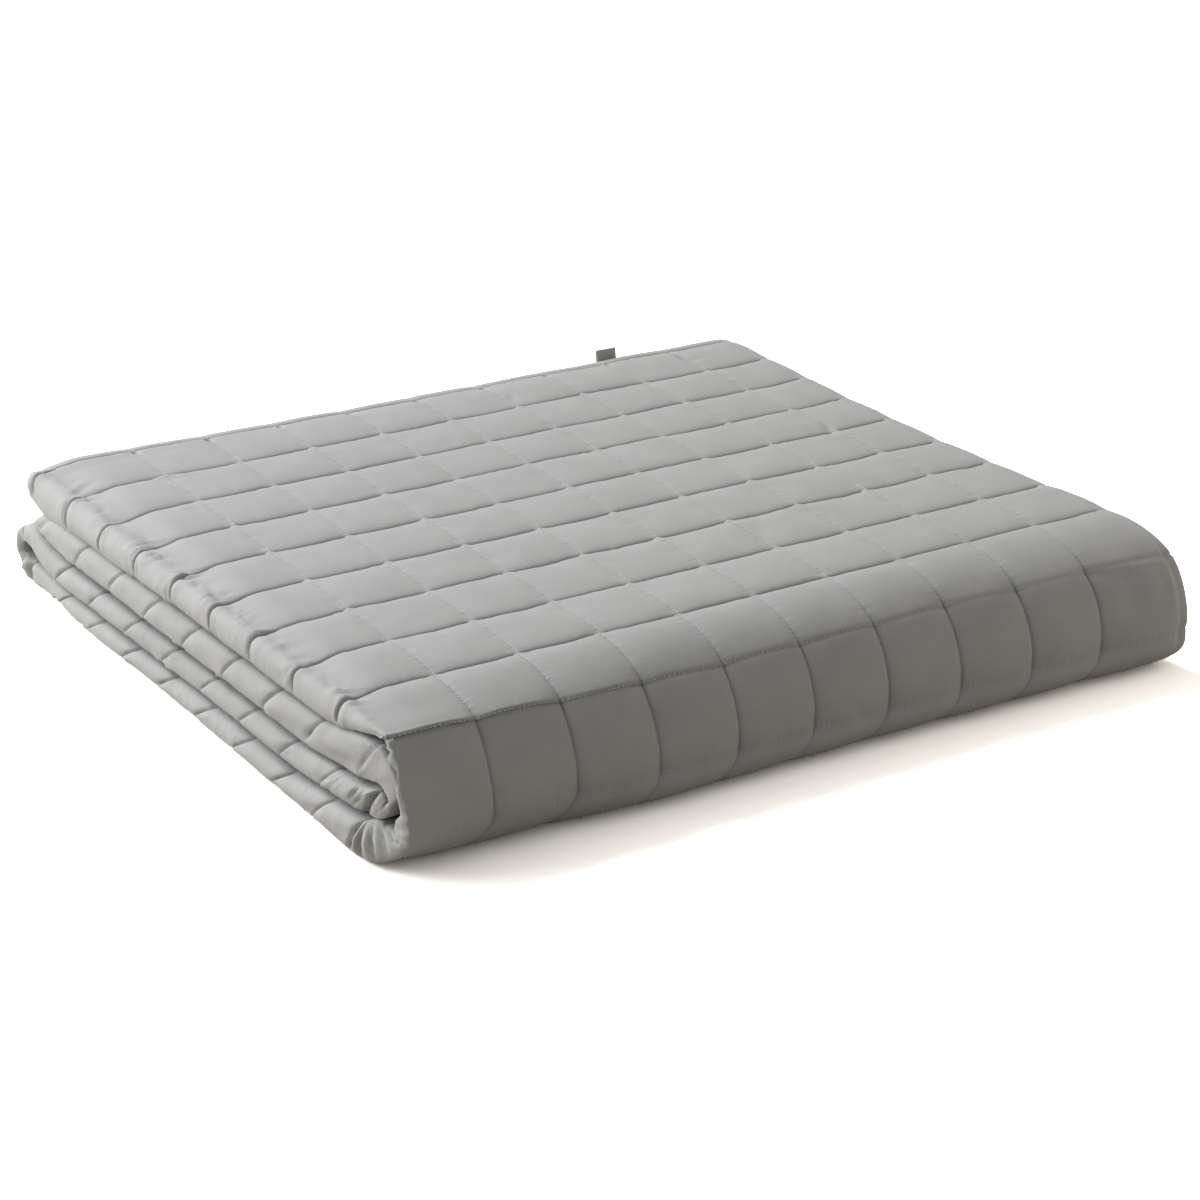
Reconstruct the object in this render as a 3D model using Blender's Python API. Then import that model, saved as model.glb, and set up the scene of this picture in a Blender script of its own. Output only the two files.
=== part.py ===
"""A quilted weighted blanket, folded into a flat pile and lying on a surface.

The blanket is 30 by 40 quilted squares. It is folded in thirds across its width, which leaves a strip
10 squares wide, and the strip is folded in half twice along its length. Seen from its left end, the pile
is four runs of the strip, one above another:

    top     from the hem at the back to the front, where it wraps down over the pile
    bottom  from the front wrap to the back, where it turns up in a loose loop
    third   from the back loop to the front, where it turns back inside the wrap
    second  from the inner turn to the back, where it ends in the other hem

+X runs along the front fold, +Y from the front to the back and +Z up. The origin is on the surface that
the pile lies on, below the middle of its bounding box. Units are metres.
"""

import math

import bmesh
import bpy
import numpy as np
from mathutils import Matrix, Vector

SQUARE = 0.0508  # one quilted square, seam to seam: 2 inches
COLUMNS = 10  # squares across the strip
NEAR = 0.02  # squares: how far apart two places on the path are to give its direction

# The strip's path from its hem over the top to its inner end, as its middle line in a cut across the
# pile. Lengths are in squares. seam counts the cross seams from the front edge of the top, which is 0;
# y runs to the back from that edge, z is the height over the surface, and half is half the thickness.
PATH_COLUMNS = ("seam", "y", "z", "half")
PATH = (
    (9.20, 9.07, 1.400, 0.100),  # hem
    (9.13, 9.01, 1.400, 0.160),
    (9.00, 8.87, 1.392, 0.200),
    (8.60, 8.46, 1.385, 0.228),  # top run
    (2.00, 1.966, 1.385, 0.230),
    (1.00, 0.983, 1.405, 0.210),
    (0.70, 0.732, 1.385, 0.200),  # front wrap
    (0.35, 0.44, 1.319, 0.180),
    (0.00, 0.143, 1.225, 0.170),
    (-0.20, 0.020, 1.100, 0.165),
    (-0.40, -0.067, 0.945, 0.165),
    (-0.67, -0.145, 0.733, 0.165),
    (-0.90, -0.150, 0.540, 0.165),
    (-1.15, -0.083, 0.363, 0.165),
    (-1.40, 0.042, 0.240, 0.165),
    (-1.70, 0.241, 0.178, 0.170),
    (-2.00, 0.47, 0.170, 0.170),  # bottom run
    (-3.00, 1.28, 0.170, 0.170),
    (-4.00, 2.255, 0.150, 0.150),
    (-10.00, 8.105, 0.148, 0.148),
    (-10.50, 8.60, 0.160, 0.150),
    (-11.00, 9.08, 0.170, 0.130),  # back loop
    (-11.30, 9.33, 0.240, 0.110),
    (-11.50, 9.44, 0.360, 0.100),
    (-11.70, 9.44, 0.500, 0.100),
    (-11.90, 9.30, 0.610, 0.115),
    (-12.20, 9.02, 0.630, 0.130),
    (-12.60, 8.55, 0.565, 0.155),
    (-13.00, 8.098, 0.510, 0.170),
    (-13.60, 7.51, 0.485, 0.170),  # third run
    (-19.00, 2.212, 0.490, 0.170),
    (-20.00, 1.231, 0.530, 0.165),
    (-20.60, 0.72, 0.545, 0.150),
    (-21.00, 0.44, 0.565, 0.125),  # inner turn
    (-21.30, 0.26, 0.640, 0.115),
    (-21.50, 0.215, 0.780, 0.110),
    (-21.70, 0.32, 0.900, 0.125),
    (-22.00, 0.62, 0.945, 0.175),
    (-22.50, 1.05, 0.945, 0.215),  # second run
    (-23.00, 1.585, 0.920, 0.220),
    (-24.00, 2.57, 0.912, 0.222),
    (-29.00, 7.495, 0.912, 0.222),
    (-29.60, 8.06, 0.908, 0.205),
    (-30.00, 8.42, 0.900, 0.160),
    (-30.15, 8.55, 0.895, 0.110),
)

# The folded ends, in squares: the left fold line, how far that end bulges past it, how far the left end
# of the top run hangs down, and the right fold line.
FOLD_COLUMNS = ("seam", "left", "bulge", "droop", "right")
FOLDS = (
    (9.20, -0.20, 0.18, 0.07, 10.00),
    (8.00, -0.13, 0.20, 0.08, 9.93),
    (5.00, -0.07, 0.18, 0.08, 9.83),
    (3.00, -0.03, 0.16, 0.08, 9.87),
    (2.00, -0.01, 0.15, 0.08, 9.92),
    (1.30, 0.00, 0.14, 0.07, 9.99),
    (0.50, 0.01, 0.10, 0.04, 10.08),
    (-0.20, 0.03, 0.07, 0.00, 10.10),
    (-1.00, 0.02, 0.07, 0.00, 10.09),
    (-1.60, -0.05, 0.13, 0.00, 10.04),
    (-3.00, -0.06, 0.16, 0.00, 9.90),
    (-7.00, -0.13, 0.19, 0.00, 9.85),
    (-10.00, -0.20, 0.22, 0.00, 9.95),
    (-11.50, -0.30, 0.16, 0.00, 10.00),
    (-13.00, -0.16, 0.22, 0.00, 9.95),
    (-16.00, -0.09, 0.18, 0.00, 9.85),
    (-19.00, -0.03, 0.16, 0.00, 9.90),
    (-21.50, -0.03, 0.12, 0.00, 10.00),
    (-22.50, 0.00, 0.16, 0.00, 9.95),
    (-26.00, -0.06, 0.19, 0.00, 9.84),
    (-29.00, -0.16, 0.22, 0.00, 9.95),
    (-30.15, -0.22, 0.16, 0.00, 10.00),
)

# How far the quilting dips at its seams, in squares. Each row holds from its seam to the next row's:
# cross is the dip at the cross seams, along that at the seams which run along the strip, and end how
# far the cross seams draw in the folded left and right ends.
QUILTING_COLUMNS = ("seam", "cross", "along", "end")
QUILTING = (
    (9.20, 0.040, 0.020, 0.06),
    (8.50, 0.060, 0.025, 0.09),
    (0.60, 0.045, 0.040, 0.06),
    (-0.50, 0.020, 0.050, 0.04),
    (-1.60, 0.000, 0.000, 0.06),
    (-10.60, 0.045, 0.045, 0.07),
    (-13.10, 0.000, 0.000, 0.08),
    (-30.00, 0.000, 0.000, 0.03),
)

SEAM_POWER = 4  # a higher power makes the dip at a seam narrower

END_SHAPE = 2.4  # power of the end's outline: 2 is an ellipse, more is fuller
HEM_CORNER = 0.30  # the hem's corners are rounded over this much of the strip
HEM_CORNER_LEAST = 0.01
DROOP_REACH = 0.35  # the part of the top run that hangs down at its left end
HEM_RISE = 0.05  # the hem stands up by this much at its left, over HEM_RISE_FROM to HEM_RISE_TO
HEM_RISE_FROM = 8.7
HEM_RISE_TO = 9.0
HEM_RISE_ENDS = 4.0  # and comes down to nothing at this many squares from the left
FORWARD_FROM = 6.0  # the front wrap comes forward from here to the right end
FORWARD = 0.12

# Where the points of a square lie, as shares of it: close to its seams where the quilting shows, at its
# middle inside the pile, and evenly where the strip turns.
SHOWN_SQUARE = (0.0, 0.14, 0.5, 0.86)
INNER_SQUARE = (0.0, 0.5)
TURNED_SQUARE = (0.0, 0.15, 0.3, 0.5, 0.7, 0.85)
HEM_PLACES = (9.20, 9.17, 9.13, 9.07)
SHOWN_SEAMS = range(9, -2, -1)
TURNED_SEAMS = (-10, -11, -12, -21)
LAST_SEAM = -30
INNER_HEM_PLACES = (-30.0, -30.09, -30.15)
END_STEPS = 4
INNER_COLUMNS = 4

# The bare tab that stands up behind the hem.
TAB_FROM_LEFT = 8.1  # squares
TAB_WIDTH = 0.015
TAB_HEIGHT = 0.0175
TAB_THICKNESS = 0.0012
TAB_ABOVE_HEM = 0.0122
TAB_LEAN = math.radians(8)
TAB_BEVEL = 0.0004
GAP = 0.0003

# The bounding box's middle, in squares from the path's own zero.
MIDDLE_X = 4.860
MIDDLE_Y = 4.561

WELD = 0.00002  # points nearer than this are one
SHARP = math.radians(50)
FLAT = math.radians(0.5)

BLANKET_GREY = (0.42, 0.42, 0.41, 1.0)
TAB_GREY = (0.10, 0.10, 0.10, 1.0)


def column(table, names, name):
    """One named column of a table, as numbers against a seam count that rises."""
    return np.array([row[names.index(name)] for row in table][::-1])


def smooth_through(at, values, where):
    """A curve through a table's values that never swings past them."""
    step = np.diff(at)
    slope = np.diff(values) / step
    tangent = np.zeros(len(at))
    tangent[0] = slope[0]
    tangent[-1] = slope[-1]
    for i in range(1, len(at) - 1):
        if slope[i - 1] * slope[i] > 0:
            weight = 2 * step[i] + step[i - 1], step[i] + 2 * step[i - 1]
            tangent[i] = sum(weight) / (weight[0] / slope[i - 1] + weight[1] / slope[i])
    i = int(np.clip(np.searchsorted(at, where, side="right") - 1, 0, len(at) - 2))
    t = (where - at[i]) / step[i]
    start = (1 + 2 * t) * (1 - t) ** 2 * values[i] + t * (1 - t) ** 2 * step[i] * tangent[i]
    end = t * t * (3 - 2 * t) * values[i + 1] + t * t * (t - 1) * step[i] * tangent[i + 1]
    return start + end


SEAM = column(PATH, PATH_COLUMNS, "seam")
PATH_OF = {name: column(PATH, PATH_COLUMNS, name) for name in PATH_COLUMNS[1:]}
FOLD_SEAM = column(FOLDS, FOLD_COLUMNS, "seam")
FOLD_OF = {name: column(FOLDS, FOLD_COLUMNS, name) for name in FOLD_COLUMNS[1:]}


def middle_line(seam):
    """(y, z, half thickness) of the strip at a place along it."""
    return [smooth_through(SEAM, PATH_OF[name], seam) for name in PATH_COLUMNS[1:]]


def outward(seam):
    """The direction, as (y, z), that the outer side of the strip faces."""
    y0, z0, _ = middle_line(min(seam + NEAR, SEAM[-1]))
    y1, z1, _ = middle_line(max(seam - NEAR, SEAM[0]))
    run = math.hypot(y1 - y0, z1 - z0)
    return (z1 - z0) / run, (y0 - y1) / run


def quilting(seam, name):
    """A dip from the quilting table at a place along the strip."""
    found = QUILTING[0]
    for row in QUILTING:
        if seam <= row[0]:
            found = row
    return found[QUILTING_COLUMNS.index(name)]


def at_seam(place):
    """1 on a seam and 0 in the middle of a square."""
    part = place - math.floor(place)
    return (1 - 2 * part) ** SEAM_POWER


def fold(seam, name):
    """A value from the table of the folded ends."""
    return smooth_through(FOLD_SEAM, FOLD_OF[name], seam)


def hem_rise(seam, across):
    """How far the hem stands up at its left."""
    along = np.interp(seam, (HEM_RISE_FROM, HEM_RISE_TO), (0, 1))
    return HEM_RISE * along * max(1 - max(across, 0) / HEM_RISE_ENDS, 0)


def pile_point(seam, across, side):
    """A point of the pile. across is 0 at the left fold line and COLUMNS at the right one, and past them
    on the folded ends; side is 1 on the outer side, -1 on the inner side and between them on an end."""
    y, z, half = middle_line(seam)
    out_y, out_z = outward(seam)
    left, right = fold(seam, "left"), fold(seam, "right")
    if across <= 0:
        x = left + across
    elif across >= COLUMNS:
        x = right + across - COLUMNS
    else:
        x = float(np.interp(across, (0, 1, COLUMNS - 1, COLUMNS), (left, 1, COLUMNS - 1, right)))
    off = half * side
    if side == 1:
        cross = quilting(seam, "cross") * at_seam(seam)
        along = quilting(seam, "along") * at_seam(across)
        off -= max(cross, along)
    if across < DROOP_REACH:
        z -= fold(seam, "droop") * (1 - across / DROOP_REACH) * (1 + side) / 2
    z += hem_rise(seam, across)
    y += off * out_y
    z += off * out_z
    forward = min(max((x - FORWARD_FROM) / (COLUMNS - FORWARD_FROM), 0), 1)
    y -= FORWARD * forward**2 * min(max(1 - y, 0), 1)
    return Vector((x - MIDDLE_X, y - MIDDLE_Y, max(z, 0))) * SQUARE


def around_the_strip(seam):
    """(across, side) of the points around the strip at one place: the outer side from left to right, the
    right end, the inner side and the left end."""
    bulge = fold(seam, "bulge") - quilting(seam, "end") * at_seam(seam)
    bulge *= min(1, math.sqrt(max(SEAM[-1] - seam, HEM_CORNER_LEAST) / HEM_CORNER))
    end = []
    for k in range(1, END_STEPS):
        angle = math.pi * k / END_STEPS
        end.append((math.sin(angle) ** (2 / END_SHAPE) * bulge, math.cos(angle)))
    points = [(i + share, 1) for i in range(COLUMNS) for share in SHOWN_SQUARE] + [(COLUMNS, 1)]
    points += [(COLUMNS + reach, side) for reach, side in end]
    points += [(COLUMNS - i * COLUMNS / INNER_COLUMNS, -1) for i in range(INNER_COLUMNS + 1)]
    points += [(-reach, side) for reach, side in reversed(end)]
    return points + points[:1]


def places_along_the_strip():
    """The seam counts of the cuts, from the hem to the inner end."""
    places = list(HEM_PLACES)
    for seam in range(9, LAST_SEAM, -1):
        square = SHOWN_SQUARE if seam in SHOWN_SEAMS else INNER_SQUARE
        if seam in TURNED_SEAMS:
            square = TURNED_SQUARE
        places += [seam - share for share in square]
    return places + list(INNER_HEM_PLACES)


def new_object(name, mesh, collection, colour, roughness):
    material = bpy.data.materials.new(name)
    material.use_nodes = True
    shader = material.node_tree.nodes["Principled BSDF"]
    shader.inputs["Base Color"].default_value = colour
    shader.inputs["Roughness"].default_value = roughness
    shader.inputs["Metallic"].default_value = 0.0
    mesh.materials.append(material)
    obj = bpy.data.objects.new(name, mesh)
    collection.objects.link(obj)
    return obj


def make_blanket(collection):
    """A flat grid is wrapped round the strip's path into a tube, and its two open ends are filled."""
    places = places_along_the_strip()
    rings = [around_the_strip(seam) for seam in places]
    bm = bmesh.new()
    bmesh.ops.create_grid(bm, x_segments=len(rings[0]) - 1, y_segments=len(places) - 1, size=0.5)
    for vertex in bm.verts:
        i = round((vertex.co.x + 0.5) * (len(rings[0]) - 1))
        j = round((vertex.co.y + 0.5) * (len(places) - 1))
        vertex.co = pile_point(places[j], *rings[j][i])
    bmesh.ops.remove_doubles(bm, verts=bm.verts, dist=WELD)
    bmesh.ops.holes_fill(bm, edges=[edge for edge in bm.edges if edge.is_boundary], sides=0)
    bmesh.ops.recalc_face_normals(bm, faces=bm.faces)
    mesh = bpy.data.meshes.new("blanket")
    bm.to_mesh(mesh)
    bm.free()
    blanket = new_object("blanket", mesh, collection, BLANKET_GREY, 0.9)
    mesh.shade_smooth()
    mesh.set_sharp_from_angle(angle=SHARP)
    flats = blanket.modifiers.new("Join flat faces", "DECIMATE")
    flats.decimate_type = "DISSOLVE"
    flats.angle_limit = FLAT
    return blanket


def make_tab(collection):
    """A small thin tab, its foot against the hem and its top above it."""
    hem_y, hem_z, hem_half = middle_line(SEAM[-1])
    bm = bmesh.new()
    bmesh.ops.create_cube(bm, size=1)
    bmesh.ops.scale(bm, vec=(TAB_WIDTH, TAB_THICKNESS, TAB_HEIGHT), verts=bm.verts)
    bmesh.ops.bevel(bm, geom=bm.edges, offset=TAB_BEVEL, segments=1, affect="EDGES")
    bmesh.ops.translate(bm, vec=(0, TAB_THICKNESS / 2, TAB_HEIGHT / 2), verts=bm.verts)
    bmesh.ops.rotate(bm, matrix=Matrix.Rotation(-TAB_LEAN, 3, "X"), verts=bm.verts)
    mesh = bpy.data.meshes.new("tab")
    bm.to_mesh(mesh)
    bm.free()
    tab = new_object("tab", mesh, collection, TAB_GREY, 0.8)
    out_y, out_z = outward(SEAM[-1])
    hem_back = (hem_y + hem_half * out_y - MIDDLE_Y) * SQUARE
    hem_top = (hem_z + hem_half * out_z) * SQUARE
    tab.location = (
        (TAB_FROM_LEFT - MIDDLE_X) * SQUARE,
        hem_back + GAP,
        hem_top + TAB_ABOVE_HEM - TAB_HEIGHT,
    )
    return tab


def main():
    for obj in list(bpy.data.objects):
        bpy.data.objects.remove(obj)
    collection = bpy.data.collections.new("weighted_blanket")
    bpy.context.scene.collection.children.link(collection)
    make_blanket(collection)
    make_tab(collection)


main()
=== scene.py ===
"""The looks of a quilted weighted blanket, folded into a flat pile.

The blanket is one padded piece. A flat grid is wrapped round the path that the folded strip takes: top
run, front wrap, bottom run, back loop, third run, inner turn and second run. The quilting, the hems and
the creases are moved into it by given tables. The thread is a second piece, in single stitches, and
the small bare tab in the hem is a third.

Lengths are in quilted squares until a piece is finished, when they become metres. A place on the strip
is seam, which counts the cross seams back from the front edge of the top, and across, which counts the
seams along the strip from the left fold.
"""

import math

import bpy
import numpy as np
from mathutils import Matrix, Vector


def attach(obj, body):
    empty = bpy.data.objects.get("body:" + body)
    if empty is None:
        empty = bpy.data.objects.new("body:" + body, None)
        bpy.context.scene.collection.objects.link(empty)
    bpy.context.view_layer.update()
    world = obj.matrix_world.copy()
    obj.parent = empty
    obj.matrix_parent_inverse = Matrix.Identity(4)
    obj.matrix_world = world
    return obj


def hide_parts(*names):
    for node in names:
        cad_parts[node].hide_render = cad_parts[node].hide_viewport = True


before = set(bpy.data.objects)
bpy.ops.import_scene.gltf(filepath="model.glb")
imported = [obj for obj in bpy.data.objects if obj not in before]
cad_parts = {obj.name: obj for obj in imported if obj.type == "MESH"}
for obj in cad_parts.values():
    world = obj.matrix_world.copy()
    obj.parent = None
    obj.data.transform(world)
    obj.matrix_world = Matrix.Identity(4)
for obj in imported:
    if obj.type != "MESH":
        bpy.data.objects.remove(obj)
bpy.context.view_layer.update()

SQUARE = 0.0508  # metres, seam to seam: 2 inches
MM = 0.001 / SQUARE  # one millimetre, in squares
COLUMNS = 10  # squares across the strip
MIDDLE_X = 4.860  # the middle of the pile, in squares
MIDDLE_Y = 4.561

# The strip's middle line in a cut across the pile: y to the back, z up from the floor, and half its
# thickness.
PATH_COLUMNS = ("seam", "y", "z", "half")
PATH = (
    (9.16, 9.03, 1.400, 0.165),  # hem
    (9.10, 8.97, 1.398, 0.190),
    (9.00, 8.87, 1.392, 0.210),
    (8.60, 8.46, 1.395, 0.238),  # top run
    (2.00, 1.966, 1.395, 0.240),
    (1.20, 1.180, 1.402, 0.228),
    (1.00, 0.990, 1.398, 0.220),
    (0.80, 0.809, 1.393, 0.212),  # front wrap
    (0.60, 0.635, 1.375, 0.203),
    (0.40, 0.463, 1.338, 0.194),
    (0.20, 0.303, 1.281, 0.187),
    (0.05, 0.192, 1.224, 0.183),
    (0.00, 0.177, 1.215, 0.182),
    (-0.05, 0.164, 1.199, 0.181),
    (-0.20, 0.084, 1.093, 0.178),
    (-0.40, -0.009, 0.943, 0.173),
    (-0.60, -0.082, 0.782, 0.169),
    (-0.80, -0.132, 0.617, 0.166),
    (-0.95, -0.146, 0.502, 0.165),
    (-1.15, -0.120, 0.385, 0.165),
    (-1.40, -0.007, 0.268, 0.170),
    (-1.70, 0.206, 0.187, 0.180),
    (-2.00, 0.47, 0.180, 0.180),  # bottom run
    (-3.00, 1.28, 0.180, 0.180),
    (-4.00, 2.255, 0.150, 0.150),
    (-10.00, 8.105, 0.148, 0.148),
    (-10.50, 8.60, 0.160, 0.155),
    (-11.00, 9.08, 0.170, 0.130),  # back loop
    (-11.30, 9.33, 0.240, 0.100),
    (-11.50, 9.44, 0.360, 0.090),
    (-11.70, 9.44, 0.500, 0.090),
    (-11.90, 9.30, 0.620, 0.110),
    (-12.20, 9.02, 0.660, 0.135),
    (-12.60, 8.55, 0.565, 0.155),
    (-13.00, 8.098, 0.510, 0.175),
    (-13.60, 7.51, 0.485, 0.177),  # third run
    (-19.00, 2.212, 0.490, 0.177),
    (-20.00, 1.231, 0.550, 0.175),
    (-20.60, 0.72, 0.572, 0.175),
    (-21.00, 0.44, 0.610, 0.155),  # inner turn
    (-21.30, 0.26, 0.690, 0.125),
    (-21.50, 0.21, 0.820, 0.110),
    (-21.70, 0.28, 0.945, 0.140),
    (-22.00, 0.60, 0.980, 0.178),
    (-22.50, 1.05, 0.960, 0.205),  # second run
    (-23.00, 1.585, 0.930, 0.218),
    (-24.00, 2.57, 0.912, 0.222),
    (-29.00, 7.495, 0.912, 0.222),
    (-29.60, 8.09, 0.912, 0.215),
    (-30.00, 8.49, 0.912, 0.200),
    (-30.12, 8.61, 0.910, 0.175),
    (-30.18, 8.67, 0.908, 0.150),
)

# How the runs lie at the left end, where they are pressed forward and swell, as changes of the path.
LEFT_COLUMNS = ("seam", "y", "z", "half")
LEFT = (
    (9.16, 0.00, 0.000, 0.000),
    (8.70, 0.00, -0.040, 0.040),
    (7.00, 0.00, -0.035, 0.035),
    (5.00, 0.00, 0.000, 0.000),
    (-1.00, 0.00, 0.000, 0.000),
    (-1.15, 0.08, 0.030, 0.040),
    (-1.40, 0.14, 0.050, 0.050),
    (-1.70, 0.11, 0.060, 0.055),
    (-2.00, 0.06, 0.040, 0.040),
    (-3.00, 0.00, 0.020, 0.020),
    (-4.00, 0.00, 0.000, 0.000),
    (-10.60, 0.00, 0.000, 0.000),
    (-11.00, 0.00, 0.000, 0.030),
    (-11.30, 0.00, 0.000, 0.015),
    (-11.90, 0.00, 0.050, 0.000),
    (-12.20, 0.00, 0.060, 0.035),
    (-12.60, 0.00, 0.030, 0.010),
    (-13.20, 0.00, 0.000, 0.000),
    (-18.00, 0.00, 0.000, 0.000),
    (-20.00, 0.00, 0.030, 0.015),
    (-20.60, 0.00, 0.040, 0.005),
    (-21.00, -0.08, 0.040, 0.045),
    (-21.30, -0.12, -0.050, 0.030),
    (-21.50, -0.20, 0.000, -0.040),
    (-21.70, -0.20, 0.040, -0.030),
    (-22.00, -0.15, 0.090, 0.090),
    (-22.50, -0.05, 0.050, 0.055),
    (-23.00, 0.00, 0.000, 0.020),
    (-24.00, 0.00, 0.000, 0.000),
    (-29.00, 0.00, 0.000, 0.000),
    (-30.00, 0.07, 0.050, 0.000),
    (-30.18, 0.11, 0.060, 0.000),
)

# The folded ends: the left fold line, how far that end bulges past it, how deeply the cross seams draw
# it in, how far its outer side hangs down, and the right fold line.
FOLD_COLUMNS = ("seam", "left", "bulge", "notch", "droop", "right")
FOLDS = (
    (9.16, -0.20, 0.18, 0.05, 0.08, 10.00),
    (8.00, -0.13, 0.20, 0.09, 0.09, 9.93),
    (5.00, -0.07, 0.18, 0.10, 0.10, 9.83),
    (3.00, -0.03, 0.16, 0.10, 0.10, 9.87),
    (2.00, -0.01, 0.15, 0.10, 0.10, 9.92),
    (1.30, 0.00, 0.14, 0.09, 0.09, 9.99),
    (0.50, 0.01, 0.10, 0.05, 0.05, 10.09),
    (-0.20, 0.03, 0.06, 0.02, 0.00, 10.15),
    (-0.90, 0.03, 0.07, 0.02, 0.00, 10.15),
    (-1.20, -0.02, 0.09, 0.03, 0.00, 10.10),
    (-1.50, -0.07, 0.14, 0.06, 0.00, 10.04),
    (-1.90, -0.10, 0.17, 0.09, 0.00, 10.00),
    (-3.00, -0.10, 0.17, 0.10, 0.02, 9.90),
    (-7.00, -0.13, 0.19, 0.09, 0.02, 9.85),
    (-9.40, -0.20, 0.21, 0.09, 0.02, 9.92),
    (-10.00, -0.16, 0.21, 0.09, 0.02, 9.95),
    (-11.50, -0.25, 0.16, 0.03, 0.00, 10.00),
    (-13.00, -0.20, 0.22, 0.08, 0.00, 9.95),
    (-16.00, -0.09, 0.18, 0.09, 0.02, 9.85),
    (-19.00, -0.03, 0.16, 0.09, 0.02, 9.90),
    (-20.60, -0.03, 0.15, 0.08, 0.02, 9.96),
    (-21.00, -0.02, 0.11, 0.08, 0.00, 9.98),
    (-21.50, 0.00, 0.05, 0.03, 0.00, 10.00),
    (-22.00, -0.01, 0.11, 0.06, 0.00, 9.98),
    (-22.50, 0.00, 0.16, 0.08, 0.02, 9.95),
    (-26.00, -0.06, 0.19, 0.09, 0.02, 9.84),
    (-29.00, -0.16, 0.22, 0.08, 0.02, 9.95),
    (-30.18, -0.22, 0.16, 0.03, 0.02, 10.00),
)

# How deep the quilting is: cross at the cross seams, along at the seams that run along the strip, line
# for the fine groove right at those seams, and pucker for the small gathers that the thread pulls up.
QUILTING_COLUMNS = ("seam", "cross", "along", "line", "pucker")
QUILTING = (
    (9.16, 0.025, 0.012, 0.000, 0.005),
    (8.50, 0.052, 0.018, 0.000, 0.006),
    (1.50, 0.052, 0.020, 0.000, 0.006),
    (0.80, 0.048, 0.028, 0.006, 0.005),
    (0.10, 0.030, 0.036, 0.018, 0.004),
    (0.00, 0.020, 0.040, 0.026, 0.004),
    (-0.12, 0.016, 0.040, 0.026, 0.004),
    (-0.35, 0.006, 0.040, 0.026, 0.004),
    (-0.90, 0.006, 0.040, 0.026, 0.004),
    (-1.30, 0.008, 0.034, 0.012, 0.004),
    (-1.80, 0.030, 0.000, 0.000, 0.000),
    (-9.80, 0.030, 0.000, 0.000, 0.000),
    (-10.60, 0.030, 0.026, 0.010, 0.006),
    (-12.60, 0.030, 0.026, 0.010, 0.006),
    (-13.20, 0.030, 0.000, 0.000, 0.000),
    (-30.18, 0.030, 0.000, 0.000, 0.000),
)

# Creases that the folding left in the cloth, each from one place to another on the outer side. A row is
# seam, across, to_seam, to_across, height and width. A negative height is a trough.
CREASES = (
    (7.99, 0.80, 7.60, 0.97, -0.030, 0.050),
    (7.97, 0.82, 7.86, 1.30, 0.018, 0.050),
    (6.80, 0.80, 6.61, 0.86, -0.020, 0.040),
    (7.31, 4.50, 7.11, 4.55, -0.026, 0.040),
    (8.42, 6.10, 8.22, 6.09, -0.028, 0.040),
    (8.66, 8.95, 8.40, 9.01, -0.045, 0.045),
    (8.40, 9.01, 8.43, 9.24, -0.040, 0.040),
    (8.52, 9.12, 8.30, 9.20, 0.020, 0.060),
    (7.94, 7.97, 7.75, 7.96, -0.028, 0.040),
    (7.98, 6.96, 7.81, 6.98, -0.024, 0.040),
    (5.26, 9.03, 4.89, 8.86, -0.020, 0.060),
    (3.73, 8.42, 3.14, 8.47, -0.010, 0.070),
    (3.03, 6.40, 2.19, 5.96, -0.010, 0.070),
    (1.33, 5.52, 1.13, 5.40, -0.012, 0.050),
    (0.02, 5.24, -0.10, 5.28, -0.014, 0.040),
    (-0.65, 5.31, -1.10, 5.70, -0.014, 0.060),
    (-0.02, 8.97, -0.32, 9.75, -0.016, 0.080),
    (-0.18, 9.42, -0.55, 9.36, -0.022, 0.090),
    (-0.15, 9.66, -0.50, 9.62, 0.020, 0.080),
    (-0.20, 9.86, -0.60, 9.84, -0.018, 0.060),
    (-0.20, 8.52, -0.50, 8.48, -0.014, 0.090),
    (8.62, 0.16, 8.55, 0.00, -0.018, 0.030),
    (8.47, 0.22, 8.40, 0.00, -0.022, 0.035),
    (8.30, 0.28, 8.12, 0.00, -0.026, 0.040),
    (7.42, 0.10, 7.47, -0.05, -0.020, 0.035),
    (4.17, 0.10, 4.12, -0.05, -0.024, 0.035),
    (3.34, 0.05, 3.22, -0.10, -0.024, 0.035),
    (2.97, 0.05, 2.97, -0.10, -0.022, 0.030),
    (2.38, 0.08, 2.34, -0.08, -0.024, 0.030),
    (1.38, 0.02, 1.33, -0.10, -0.022, 0.030),
)

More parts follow.
